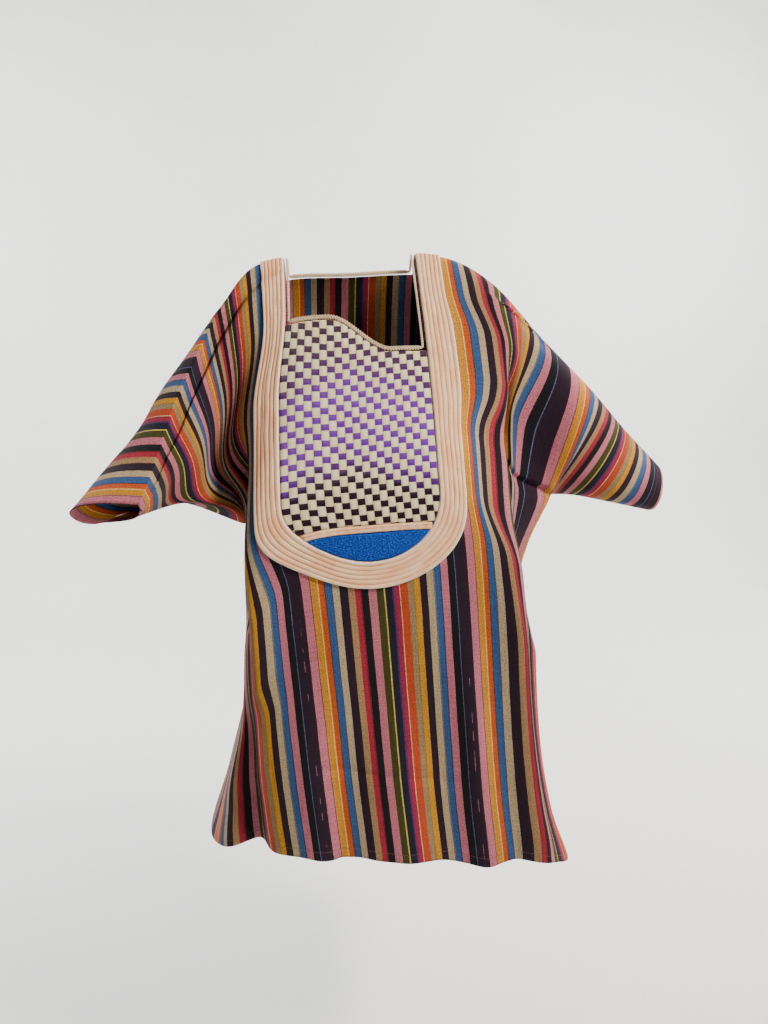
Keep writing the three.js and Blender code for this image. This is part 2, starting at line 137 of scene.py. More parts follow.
CREASES = [  # the same, for the smaller ones
    ("front", 150, 28, 290, -6, 9, -3, -4, -8),
    ("front", 156, 42, 296, 8, 9, 1, 5, 2),
    ("front", -40, 16, -520, 15, 10, 0, 11, -8),
    ("front", 190, 197, 306, 196, 10, -2, 5, 2),
    ("front", 92, 340, 98, 1000, 28, 0, -8, 0),
    ("front", 8, 360, 4, 1000, 26, 0, -2.5, 0),
    ("front", -88, 380, -96, 1000, 28, 0, -4, 0),
    ("front", -150, 574, 110, 594, 9, 0, 2.2, 0),
    ("front", -64, 560, -72, 800, 12, 0, 2.2, 0),
    ("front", 128, 520, 136, 900, 14, -1, 3, 0),
    ("back", -90, 120, -60, 760, 30, 0, 4, 0),
    ("back", 100, 160, 120, 900, 30, 0, -4, 0),
]

# One repeat of the warp, from a yellow stripe: width in mm and colour of each stripe.
WARP = [
    (6.7, "yellow"), (7.6, "plum"), (7.6, "cream"), (7.5, "blue"), (7.8, "pink"), (7.2, "black"),
    (0.75, "steel"), (14.05, "plum"), (9.1, "pink"), (7.4, "ochre"), (0.6, "pale"), (0.3, "ochre"),
    (5.7, "orange"), (0.6, "black"), (6.8, "blue"), (0.5, "violet"), (7.3, "cream"), (8.5, "plum"),
    (7.3, "tan"), (6.7, "crimson"), (7.3, "black"), (8.5, "pink"), (7.3, "olive"), (1.5, "lemon"),
    (7.1, "navy"), (2.4, "violet"), (5.5, "magenta"), (0.6, "pale"), (7.9, "flame"), (0.5, "black"),
    (5.7, "sand"), (0.5, "black"),
]
WARP_START = 136.6  # how far into a repeat the yoke's centre lies
DARK_THREADS = (0.0, 21.9, 29.4, 68.3, 105.9, 119.4)  # single dark warp threads, mm into a repeat
SLUB_THREAD = 53.5  # a pink thread that shows here and there in the wide plum stripe
SLUB_FROM = 400  # from this flat depth down
SLUB_PINK = (0.74, 0.48, 0.54)
STITCH_BROWN = (0.42, 0.34, 0.30)
SEEN = {  # yarn dyes as the eye sees them, sRGB
    "yellow": (0.78, 0.58, 0.14), "plum": (0.20, 0.12, 0.20), "cream": (0.72, 0.65, 0.53),
    "blue": (0.25, 0.39, 0.57), "pink": (0.75, 0.48, 0.53), "black": (0.10, 0.10, 0.13),
    "ochre": (0.78, 0.57, 0.17), "pale": (0.86, 0.78, 0.62), "orange": (0.75, 0.37, 0.16),
    "violet": (0.37, 0.22, 0.42), "tan": (0.66, 0.54, 0.40), "crimson": (0.66, 0.20, 0.28),
    "olive": (0.30, 0.30, 0.12), "lemon": (0.80, 0.72, 0.38), "navy": (0.14, 0.13, 0.22),
    "magenta": (0.63, 0.18, 0.30), "flame": (0.72, 0.32, 0.17), "sand": (0.60, 0.53, 0.40),
    "steel": (0.42, 0.44, 0.58),
}
DYE_DEPTH = 1.25  # the view transform pales colours, so the dyes are laid on deeper by this power
YARN = {name: tuple(part ** DYE_DEPTH for part in seen) for name, seen in SEEN.items()}


# ---- small helpers ----
def smooth(v):
    """From 0 to 1 with level ends."""
    c = np.clip(v, 0, 1)
    return c * c * (3 - 2 * c)


def mix(a, b, w):
    return a + (b - a) * w


def table_at(table, key):
    """The table's columns at each key, by a smooth curve through its rows."""
    key = np.asarray(key, float)
    keys = table[:, 0]
    last = len(keys) - 1
    i = np.clip(np.searchsorted(keys, key, side="left") - 1, 0, last - 1)
    a, b = table[i], table[i + 1]
    before, after = table[np.maximum(i - 1, 0)], table[np.minimum(i + 2, last)]
    h = (b[:, :1] - a[:, :1])
    w = np.clip((key[:, None] - a[:, :1]) / h, 0, 1)
    start = (b - before) / (b[:, :1] - before[:, :1]) * h
    end = (after - a) / (after[:, :1] - a[:, :1]) * h
    return (
        (2 * w**3 - 3 * w**2 + 1) * a + (w**3 - 2 * w**2 + w) * start
        + (3 * w**2 - 2 * w**3) * b + (w**3 - w**2) * end
    )


def along(points, share):
    """The point at a share of the length of each of many polylines, points (n, k, 3)."""
    piece = np.linalg.norm(np.diff(points, axis=1), axis=2)
    reach = np.concatenate([np.zeros((len(points), 1)), np.cumsum(piece, axis=1)], axis=1)
    goal = share * reach[:, -1]
    i = np.clip((reach < goal[:, None]).sum(axis=1), 1, points.shape[1] - 1)
    n = np.arange(len(points))
    w = (goal - reach[n, i - 1]) / (reach[n, i] - reach[n, i - 1])
    return mix(points[n, i - 1], points[n, i], w[:, None])


def ring_point(side, u, t):
    """A point of the body below the underarms, on the ring at its depth."""
    _, middle, left, right, front, back, sq_l, sq_r, z_f, z_b, z_l, z_r = table_at(RINGS, t).T
    is_left = u < 0
    half, square = np.where(is_left, left, right), np.where(is_left, sq_l, sq_r)
    depth, z_middle = (-front, z_f) if side == "front" else (back, z_b)
    z_side = np.where(is_left, z_l, z_r)
    a = np.linspace(0, math.pi / 2, RING_STEPS + 1)[None, :]
    square = square[:, None]
    r = (np.sin(a) ** square + np.maximum(np.cos(a), 0) ** square) ** (-1 / square)
    across = r * np.sin(a)
    turn = np.where(is_left, -1, 1)
    quarter = np.stack([
        middle[:, None] + (turn * half)[:, None] * across,
        depth[:, None] * r * np.cos(a),
        mix(z_middle[:, None], z_side[:, None], across**4),
    ], axis=2)
    around = np.linalg.norm(np.diff(quarter, axis=1), axis=2).sum(axis=1)
    reach = np.abs(u)
    eased = FRONT_FLAT + (reach - FRONT_FLAT) / (ARM_HALF - FRONT_FLAT) * (around - FRONT_FLAT)
    eased = np.where(reach < FRONT_FLAT, reach, eased)
    return along(quarter, np.clip(eased / around, 0, 1))


def foot_depth(u):
    """Flat depth of the seam or level that ends the shoulder stretch of a warp thread."""
    return np.where(np.abs(u) <= ARM_HALF, ARM_DEPTH, table_at(SLEEVE_SEAM, u)[:, 1])


def shoulder_point(side, u, t):
    """A point between the shoulder line and the seam or level below it."""
    top = table_at(SHOULDER, u)
    pull = slice(4, 7) if side == "front" else slice(7, 10)
    seam_pull = slice(5, 8) if side == "front" else slice(8, 11)
    start = top[:, 1:4]
    leave = start + top[:, pull]
    seam = table_at(SLEEVE_SEAM, u)
    in_body = (np.abs(u) <= ARM_HALF)[:, None]
    u_body = np.clip(u, -ARM_HALF, ARM_HALF)
    level = ring_point(side, u_body, np.full(len(u), float(ARM_DEPTH)))
    fall = ring_point(side, u_body, np.full(len(u), ARM_DEPTH + FALL_STEP)) - level
    fall /= np.linalg.norm(fall, axis=1, keepdims=True)
    corner = table_at(SLEEVE_SEAM, np.where(u < 0, -ARM_HALF, ARM_HALF))
    corner_share = smooth((np.abs(u) - ARM_HALF + CORNER_EASE) / CORNER_EASE)[:, None]
    body_arrive = mix(level - ARRIVE_PULL * fall, level + corner[:, seam_pull], corner_share)
    foot = np.where(in_body, level, seam[:, 2:5])
    arrive = np.where(in_body, body_arrive, seam[:, 2:5] + seam[:, seam_pull])
    w = np.linspace(0, 1, SHOULDER_STEPS + 1)[None, :, None]
    curve = (
        (1 - w) ** 3 * start[:, None] + 3 * (1 - w) ** 2 * w * leave[:, None]
        + 3 * (1 - w) * w**2 * arrive[:, None] + w**3 * foot[:, None]
    )
    return along(curve, np.clip(t / foot_depth(u), 0, 1))


def plain_point(side, u, t):
    upper = (t <= foot_depth(u)) | (np.abs(u) > ARM_HALF)
    out = np.empty((len(u), 3))
    if upper.any():
        out[upper] = shoulder_point(side, u[upper], t[upper])
    if (~upper).any():
        out[~upper] = ring_point(side, u[~upper], t[~upper])
    return out


def fold_shift(side, u, t):
    """How far the folds and creases move the cloth."""
    shift = np.zeros((len(u), 3))
    full = np.ones(len(u))
    eased = smooth(t / CREASE_EASE)
    rows = [(row, full) for row in FOLDS] + [(row, eased) for row in CREASES]
    for (on, u0, t0, u1, t1, width, *move), depth in rows:
        if on != side:
            continue
        du, dt = u1 - u0, t1 - t0
        share = ((u - u0) * du + (t - t0) * dt) / (du * du + dt * dt)
        off = ((u - u0) * dt - (t - t0) * du) / math.hypot(du, dt)
        ends = depth * smooth(share / 0.3) * smooth((1 - share) / 0.3)
        shift += (ends * np.exp(-((off / (0.6 * width)) ** 2)))[:, None] * np.array(move, float)
    return shift


def cloth_point(side, u, t):
    return plain_point(side, u, t) + fold_shift(side, u, t)


def outward(side, u, t):
    """Unit vectors out of the cloth's face."""
    in_skirt = (t > ARM_DEPTH - PROBE) & (np.abs(u) <= ARM_HALF)
    low, high = np.where(in_skirt, -ARM_HALF, CUFF_LEFT), np.where(in_skirt, ARM_HALF, CUFF_RIGHT)
    u_in = np.clip(u, low + PROBE, high - PROBE)
    last = np.where(np.abs(u) > ARM_HALF, foot_depth(u), LENGTH) - PROBE
    t_in = np.clip(t, PROBE, last)
    across = cloth_point(side, u_in + PROBE, t_in) - cloth_point(side, u_in - PROBE, t_in)
    down = cloth_point(side, u_in, t_in + PROBE) - cloth_point(side, u_in, t_in - PROBE)
    n = np.cross(down, across) if side == "front" else np.cross(across, down)
    return n / np.linalg.norm(n, axis=1, keepdims=True)


def surface(side, places, lift):
    """Points in metres over flat places (n, 2), lifted off the cloth's form by lift mm."""
    u, t = places[:, 0], places[:, 1]
    point = cloth_point(side, u, t)
    if np.any(lift):
        point += outward(side, u, t) * np.reshape(lift, (-1, 1))
    return point / 1000


# ---- making pieces ----
def make_mesh(name, points, faces, flat, extra=None):
    """A smooth mesh whose UV map is the flat cloth in metres; extra is a second such map."""
    mesh = bpy.data.meshes.new(name)
    mesh.from_pydata([tuple(p) for p in points], [], [tuple(int(i) for i in f) for f in faces])
    loops = np.empty(len(mesh.loops), int)
    mesh.loops.foreach_get("vertex_index", loops)
    for map_name, places in (("flat", flat), ("local", extra)):
        if places is None:
            continue
        layer = mesh.uv_layers.new(name=map_name)
        layer.data.foreach_set("uv", (np.asarray(places)[loops] / 1000).ravel())
    mesh.polygons.foreach_set("use_smooth", [True] * len(mesh.polygons))
    mesh.update()
    piece = bpy.data.objects.new(name, mesh)
    bpy.context.scene.collection.objects.link(piece)
    return piece


def grid_faces(rows, columns, keep=None, flip=False):
    faces = []
    for j in range(rows - 1):
        for i in range(columns - 1):
            if keep is not None and not keep[j, i]:
                continue
            a, b = j * columns + i, j * columns + i + 1
            c, d = b + columns, a + columns
            faces.append((a, d, c, b) if flip else (a, b, c, d))
    return faces


def thicken(piece, thick, rim=True):
    shell = piece.modifiers.new("thickness", "SOLIDIFY")
    shell.thickness = thick / 1000
    shell.offset = -1
    shell.use_rim = rim


def neckline(u):
    """Depth of the front opening's lower edge."""
    return mix(NECK_LEFT, NECK_RIGHT, smooth((u - NECK_S_START) / NECK_S_WIDTH))


def stations(*stops):
    """Runs of evenly spaced values between (value, steps) stops."""
    values = [stops[0][0]]
    for (a, _), (b, n) in zip(stops[:-1], stops[1:]):
        values.extend(np.linspace(a, b, n + 1)[1:])
    return np.array(values, float)


def panel(side):
    """The cloth of one side, cut out at the neck."""
    band_outer = BAND_INNER + BAND_WIDTH
    u = stations((CUFF_LEFT, 0), (-ARM_HALF, 28), (-band_outer, 54), (-NECK_HALF, 8), (NECK_HALF, 38),
                 (band_outer, 8), (ARM_HALF, 54), (CUFF_RIGHT, 34))
    front_edge = neckline(np.clip(u, -NECK_HALF, NECK_HALF))
    opening = front_edge if side == "front" else np.full(len(u), float(BACK_NECK))
    foot = foot_depth(u)
    edge = opening * foot / ARM_DEPTH
    beside, yoke, skirt = (22, 32, 122) if side == "front" else (8, 46, 122)
    rows = [edge * j / beside for j in range(beside)]
    rows += [mix(edge, foot, j / yoke) for j in range(yoke + 1)]
    rows += [np.full(len(u), mix(ARM_DEPTH, LENGTH, j / skirt)) for j in range(1, skirt + 1)]
    t = np.array(rows)
    uu = np.broadcast_to(u, t.shape)
    middle = (uu[:-1, :-1] + uu[:-1, 1:]) / 2
    keep = np.ones((len(rows) - 1, len(u) - 1), bool)
    keep[:beside] &= np.abs(middle[:beside]) > NECK_HALF
    keep[beside + yoke:] &= np.abs(middle[beside + yoke:]) < ARM_HALF
    places = np.stack([uu.ravel(), t.ravel()], axis=1)
    used = np.zeros(len(places), bool)
    faces = np.array(grid_faces(len(rows), len(u), keep, flip=side == "front"))
    used[faces.ravel()] = True
    number = np.cumsum(used) - 1
    places = places[used]
    return make_mesh(side + "_cloth", surface(side, places, 0), number[faces], places)


def edge_run(half, leg_end, round_across, round_down, step):
    """The edge round an opening, down the left and up the right: places, ways out, length."""
    inset = half - round_across
    leg = np.linspace(0, leg_end, max(2, round(leg_end / step) + 1))
    turn = np.linspace(0, math.pi / 2, max(3, round(round_across * math.pi / 2 / step) + 1))[1:]
    level = np.linspace(-inset, 0, max(2, round(inset / step) + 1))[1:] if inset > 0 else []
    left = [((-half, t), (-1, 0)) for t in leg]
    for a in turn:
        out = np.array([-math.cos(a) / round_across, math.sin(a) / round_down])
        place = (-inset - round_across * math.cos(a), leg_end + round_down * math.sin(a))
        left.append((place, tuple(out / np.linalg.norm(out))))
    left += [((x, leg_end + round_down), (0, 1)) for x in level]
    right = [((-p[0], p[1]), (-o[0], o[1])) for p, o in left[:-1]]
    run = left + right[::-1]
    place = np.array([p for p, _ in run], float)
    out = np.array([o for _, o in run], float)
    length = np.concatenate([[0], np.cumsum(np.linalg.norm(np.diff(place, axis=0), axis=1))])
    return place, out, length


FIELD_RIM = 1.2
ROW_GROUND, ROW_CROWN = 1.9, 0.95  # height in the grooves, and of a row above that
ROW_EDGE = 0.9  # how soon the band has its full height


def row_height(off):
    """Height of the sewn rows at a distance from the band's inner edge."""
    edge = smooth(off / ROW_EDGE) * smooth((BAND_WIDTH - off) / ROW_EDGE)
    return edge * (ROW_GROUND + ROW_CROWN * np.abs(np.sin(off / ROW_WIDTH * math.pi)) ** 0.7)


def band(name, side, run, lanes=48):
    """Sewn rows along an edge, a little uneven."""
    place, out, length = run
    off = np.linspace(0, BAND_WIDTH, lanes + 1)
    wander = 0.35 * np.sin(length / 23) + 0.25 * np.sin(length / 9.1 + 1)
    reach = off[None, :] + wander[:, None] * np.sin(off / BAND_WIDTH * math.pi)[None, :]
    places = (place[:, None, :] + out[:, None, :] * reach[:, :, None]).reshape(-1, 2)
    local = np.stack([np.repeat(length, lanes + 1), np.tile(off, len(length))], axis=1)
    points = surface(side, places, row_height(local[:, 1]))
    faces = grid_faces(len(length), lanes + 1, flip=side == "back")
    return make_mesh(name, points, faces, places, local)


def field(name, half, top, bottom, columns, rows, height):
    """A raised filling between two edges, with its rim rounded down to the cloth."""
    u = np.linspace(-half, half, columns + 1)
    share = np.linspace(0, 1, rows + 1)[:, None]
    t = mix(top(u)[None, :], bottom(u)[None, :], share)
    places = np.stack([np.broadcast_to(u, t.shape).ravel(), t.ravel()], axis=1)
    edge = np.minimum(share, 1 - share) * np.ones_like(t)
    side_edge = np.minimum(u + half, half - u)[None, :] * np.ones_like(t)
    rim = smooth(edge.ravel() * (bottom(u) - top(u)).mean() / FIELD_RIM)
    rim = rim * smooth(side_edge.ravel() / FIELD_RIM)
    points = surface("front", places, rim * height(places[:, 0], places[:, 1]))
    return make_mesh(name, points, grid_faces(rows + 1, columns + 1, flip=True), places, places)


WEAVE_COLUMN = 7.6  # width of a column of blocks
WEAVE_PERIOD = 16.9  # a purple block and a cream one
WEAVE_STEP = 0.4  # share of a period that each column lies lower than the one on its left
WEAVE_SLANT = 0.04  # how far a block's ends lean
WEAVE_CURL = 0.0029  # how the rows climb towards the left band, from WEAVE_CURL_FROM on
WEAVE_CURL_FROM = -10
PURPLE_SHARE = 0.40  # of a period
BLOCK_GROUND, BLOCK_CROWN = 0.9, 1.0


def weave_phase(u, t):
    """How far a place is across its column and down its period, both 0 to 1."""
    column = np.floor((u + FIELD_HALF) / WEAVE_COLUMN)
    in_column = (u + FIELD_HALF) / WEAVE_COLUMN - column
    curl = WEAVE_CURL * np.maximum(0, WEAVE_CURL_FROM - u) ** 2
    slant = WEAVE_SLANT * (in_column - 0.5) * WEAVE_COLUMN
    phase = (t + curl + slant) / WEAVE_PERIOD - column * WEAVE_STEP
    return in_column, phase - np.floor(phase)


def weave_height(u, t):
    in_column, phase = weave_phase(u, t)
    purple = phase < PURPLE_SHARE
    in_block = np.where(purple, phase / PURPLE_SHARE, (phase - PURPLE_SHARE) / (1 - PURPLE_SHARE))
    crown = np.clip(np.sin(in_column * math.pi), 0, 1) ** 0.45
    ends = np.clip(np.sin(in_block * math.pi), 0, 1) ** 0.35
    return BLOCK_GROUND + BLOCK_CROWN * crown * ends


def level(t):
    """An edge at one depth."""
    return lambda u: np.full(len(u), float(t))


def round_bottom(u):
    return BAND_STRAIGHT + FIELD_ROUND * np.sqrt(np.maximum(0, 1 - (u / FIELD_HALF) ** 2))


def chord_at(t):
    """Half the width of the round bottom at a depth."""
    return FIELD_HALF * math.sqrt(1 - ((t - BAND_STRAIGHT) / FIELD_ROUND) ** 2)


def knots(u, t):
    """The uneven knotted ground of the crescent."""
    grain = np.sin(u * 1.9 + 1.3 * np.sin(t * 1.1)) * np.sin(t * 2.3 + 1.7 * np.sin(u * 0.9))
    return 1.9 + 0.45 * grain


CORD_STEP = 0.8
CORD_SIDES = 8
CORD_ROUNDINGS = 6  # passes that round the corners of the cord's line


def twisted_cord(name, side, stops):
    """A cord of two strands laid round a line of flat places."""
    stops = np.array(stops, float)
    length = np.concatenate([[0], np.cumsum(np.linalg.norm(np.diff(stops, axis=0), axis=1))])
    s = np.linspace(0, length[-1], int(length[-1] / CORD_STEP))
    u, t = np.interp(s, length, stops[:, 0]), np.interp(s, length, stops[:, 1])
    for _ in range(CORD_ROUNDINGS):
        u[1:-1] = (u[:-2] + u[1:-1] + u[2:]) / 3
        t[1:-1] = (t[:-2] + t[1:-1] + t[2:]) / 3
    line = surface(side, np.stack([u, t], axis=1), 0.4)
    way = outward(side, u, t)
    tangent = np.gradient(line, axis=0)
    tangent /= np.linalg.norm(tangent, axis=1, keepdims=True)
    beside = np.cross(tangent, way)
    thick = 1 - (1 - CORD_SLIM) * smooth((np.abs(u) - CORD_HALF + 6) / 5)
    points, faces, local = [], [], []
    sides = CORD_SIDES
    for strand in range(2):
        turn = 2 * math.pi * s / CORD_PITCH + strand * math.pi
        off = (CORD_STRAND * 0.75 / 1000 * thick)[:, None]
        core = line + (way * np.cos(turn)[:, None] + beside * np.sin(turn)[:, None]) * off
        base = len(points)
        for k in range(len(s)):
            for q in range(sides):
                a = 2 * math.pi * q / sides
                reach = CORD_STRAND / 1000 * thick[k]
                points.append(core[k] + (way[k] * math.cos(a) + beside[k] * math.sin(a)) * reach)
                local.append((s[k], q * 1.0))
        for k in range(len(s) - 1):
            for q in range(sides):
                a, b = base + k * sides + q, base + k * sides + (q + 1) % sides
                faces.append((a, a + sides, b + sides, b))
        faces.append([base + q for q in range(sides)])
        faces.append([base + (len(s) - 1) * sides + q for q in range(sides)][::-1])
    return make_mesh(name, points, faces, local, local)


# ---- materials ----
def linear(srgb):
    """A linear colour from an sRGB one."""
    parts = (c / 12.92 if c <= 0.04045 else ((c + 0.055) / 1.055) ** 2.4 for c in srgb)
    return (*parts, 1.0)


def grey(value):
    return (value, value, value, 1)


class Look:
    """A material and short ways to build its nodes."""

    def __init__(self, name, roughness, sheen=0.0, specular=0.3):
        self.material = bpy.data.materials.new(name)
        self.material.use_nodes = True
        self.tree = self.material.node_tree
        self.shader = self.tree.nodes["Principled BSDF"]
        self.shader.inputs["Roughness"].default_value = roughness
        self.shader.inputs["Sheen Weight"].default_value = sheen
        self.shader.inputs["Sheen Roughness"].default_value = 0.6
        self.shader.inputs["Specular IOR Level"].default_value = specular

    def node(self, kind, **settings):
        made = self.tree.nodes.new(kind)
        for key, value in settings.items():
            setattr(made, key, value)
        return made

    def plug(self, value, socket):
        if isinstance(value, bpy.types.NodeSocket):
            self.tree.links.new(value, socket)
        else:
            socket.default_value = value

    def math(self, operation, a, b=0.0, c=0.0):
        made = self.node("ShaderNodeMath", operation=operation)
        for value, socket in zip((a, b, c), made.inputs):
            self.plug(value, socket)
        return made.outputs[0]

    def places(self, layer):
        """The two coordinates of a flat map, in mm."""
        uv = self.node("ShaderNodeUVMap", uv_map=layer)
        split = self.node("ShaderNodeSeparateXYZ")
        self.plug(uv.outputs[0], split.inputs[0])
        return tuple(self.math("MULTIPLY", split.outputs[k], 1000) for k in (0, 1))

    def noise(self, u, t, u_scale, t_scale, detail=2.0):
        join = self.node("ShaderNodeCombineXYZ")
        self.plug(self.math("MULTIPLY", u, u_scale), join.inputs[0])
        self.plug(self.math("MULTIPLY", t, t_scale), join.inputs[1])
        made = self.node("ShaderNodeTexNoise", noise_dimensions="2D")
        self.plug(join.outputs[0], made.inputs["Vector"])
        made.inputs["Scale"].default_value = 1.0
        made.inputs["Detail"].default_value = detail
        return made.outputs["Fac"]

    def wave(self, value, period):
        return self.math("SINE", self.math("MULTIPLY", value, 2 * math.pi / period))

    def ramp(self, value, stops, kind="LINEAR"):
        made = self.node("ShaderNodeValToRGB")
        made.color_ramp.interpolation = kind
        elements = made.color_ramp.elements
        while len(elements) < len(stops):
            elements.new(0.5)
        for element, (at, colour) in zip(elements, stops):
            element.position = at
            element.color = colour
        self.plug(value, made.inputs[0])
        return made.outputs[0]

    def blend(self, share, a, b, kind="MIX"):
        made = self.node("ShaderNodeMix", data_type="RGBA", blend_type=kind)
        self.plug(share, made.inputs[0])
        self.plug(a, made.inputs[6])
        self.plug(b, made.inputs[7])
        return made.outputs[2]

    def shade(self, colour, amount):
        """The colour made lighter or darker by a factor."""
        made = self.node("ShaderNodeVectorMath", operation="SCALE")
        self.plug(colour, made.inputs[0])
        self.plug(amount, made.inputs["Scale"])
        return made.outputs[0]

    def near(self, value, centre, half, soft=0.15):
        """1 where value is within half of centre, else 0."""
        away = self.math("ABSOLUTE", self.math("SUBTRACT", value, centre))
        made = self.node("ShaderNodeMapRange", interpolation_type="SMOOTHSTEP")
        self.plug(away, made.inputs[0])
        for index, number in enumerate((half - soft, half + soft, 1.0, 0.0), start=1):
            made.inputs[index].default_value = number
        return made.outputs[0]

    def finish(self, colour, height, distance):
        self.plug(colour, self.shader.inputs["Base Color"])
        bump = self.node("ShaderNodeBump")
        bump.inputs["Strength"].default_value = 1.0
        bump.inputs["Distance"].default_value = distance / 1000
        self.plug(height, bump.inputs["Height"])
        self.plug(bump.outputs[0], self.shader.inputs["Normal"])
        return self.material


def striped_cotton():
    """Warp stripes over the flat cloth, with stitched hems."""
    look = Look("striped_cotton", roughness=0.85, sheen=0.04, specular=0.12)
    u, t = look.places("flat")
    repeat = sum(width for width, _ in WARP)
    stops, reach = [], 0.0
    for width, yarn in WARP:
        stops.append((reach / repeat, linear(YARN[yarn])))
        reach += width
    drift = look.math("MULTIPLY", look.math("SUBTRACT", look.noise(u, t, 0.03, 0.012), 0.5), 1.1)
    fray = look.math("MULTIPLY", look.math("SUBTRACT", look.noise(u, t, 0.5, 0.6), 0.5), 0.55)
    warp_u = look.math("ADD", look.math("ADD", u, WARP_START), look.math("ADD", drift, fray))
    in_repeat = look.math("FRACT", look.math("DIVIDE", warp_u, repeat))
    colour = look.ramp(in_repeat, stops, "CONSTANT")
    threads = 0.0
    for place in DARK_THREADS:
        thread = look.near(in_repeat, place / repeat, 0.0026, 0.0012)
        threads = look.math("ADD", threads, thread)
    colour = look.blend(look.math("MULTIPLY", threads, 0.75), colour, linear(YARN["plum"]))
    yarns = look.noise(u, t, 1.6, 0.018, detail=1.0)
    weft = look.noise(u, t, 0.02, 0.9, detail=1.0)
    patch = look.noise(u, t, 0.012, 0.010)
    slub = look.near(in_repeat, SLUB_THREAD / repeat, 0.0016, 0.0008)
    shows = look.near(look.noise(u, t, 0.004, 0.05, detail=4.0), 0.66, 0.07, 0.04)
    low = look.math("SUBTRACT", 1.0, look.near(t, 0.0, SLUB_FROM, 30.0))
    shows = look.math("MULTIPLY", look.math("MULTIPLY", slub, shows), low)
    colour = look.blend(look.math("MULTIPLY", shows, 0.7), colour, linear(SLUB_PINK))
    tone = look.math("ADD", look.math("MULTIPLY", yarns, 0.60), look.math("MULTIPLY", weft, 0.45))
    tone = look.math("ADD", tone, look.math("MULTIPLY", patch, 0.30))
    colour = look.shade(colour, look.math("ADD", tone, 0.30))
    speck = look.ramp(look.noise(u, t, 0.75, 0.75, detail=0.0), [
        (0.30, grey(0.62)), (0.48, grey(1.0)), (0.72, grey(1.14))])
    colour = look.blend(1.0, colour, speck, "MULTIPLY")
    over = look.math("MULTIPLY", look.wave(u, 1.1), look.wave(t, 1.25))
    weave = look.math("ADD", look.math("MULTIPLY", over, 0.5), yarns)

    def stitches(across, centre, along_value):
        line = look.near(across, centre, 0.5, 0.2)
        dash = look.near(look.math("PINGPONG", along_value, 2.0), 0.9, 0.75, 0.2)
        return look.math("MULTIPLY", line, dash)

    hem = stitches(t, LENGTH - HEM_DEPTH, u)
    left_cuff = stitches(u, CUFF_LEFT + HEM_DEPTH, t)
    right_cuff = stitches(u, CUFF_RIGHT - HEM_DEPTH, t)
    sewn = look.math("ADD", hem, look.math("ADD", left_cuff, right_cuff))
    colour = look.blend(look.math("MULTIPLY", sewn, 0.5), colour, linear(STITCH_BROWN))
    hem_fold = look.near(t, LENGTH, HEM_DEPTH, 0.5)
    fold = look.math("ADD", hem_fold, look.near(u, CUFF_LEFT, HEM_DEPTH, 0.5))
    fold = look.math("ADD", fold, look.near(u, CUFF_RIGHT, HEM_DEPTH, 0.5))
    height = look.math("ADD", weave, look.math("MULTIPLY", fold, 3.0))
    height = look.math("SUBTRACT", height, look.math("MULTIPLY", sewn, 2.0))
    return look.finish(colour, height, 0.16)


def cream_satin():
    """Sewn rows: local places run along the rows and off across them."""
    look = Look("cream_satin", roughness=0.5, sheen=0.15, specular=0.45)
    s, off = look.places("local")
    wobble = look.math("MULTIPLY", look.math("SUBTRACT", look.noise(s, off, 0.12, 0.1), 0.5), 0.9)
    row = look.math("PINGPONG", look.math("ADD", off, wobble), ROW_WIDTH / 2)
    groove = look.near(row, 0.0, 0.30, 0.25)
    patch = look.noise(s, off, 0.035, 0.12)
    cream = look.ramp(patch, [(0.3, linear((0.97, 0.70, 0.50))), (0.7, linear((0.99, 0.83, 0.65)))])
    edge = look.math("ADD", look.near(off, BAND_WIDTH, 1.8, 0.4), look.near(off, 0.0, 1.5, 0.4))
    cream = look.blend(edge, cream, linear((0.98, 0.93, 0.84)))
    worn = look.ramp(look.noise(s, off, 0.05, 0.6), [(0.35, grey(0.25)), (0.6, grey(0.95))])
    colour = look.blend(look.math("MULTIPLY", groove, worn), cream, linear((0.80, 0.44, 0.40)))
    thread = look.wave(look.math("ADD", s, look.math("MULTIPLY", off, 0.12)), 0.85)
    strands = look.noise(s, off, 1.5, 0.12)
    colour = look.shade(colour, look.math("ADD", look.math("MULTIPLY", strands, 0.35), 0.83))
    height = look.math("ADD", look.math("MULTIPLY", thread, 0.5), look.math("MULTIPLY", strands, 1.2))
    height = look.math("SUBTRACT", height, look.math("MULTIPLY", groove, 1.5))
    return look.finish(colour, height, 0.22)


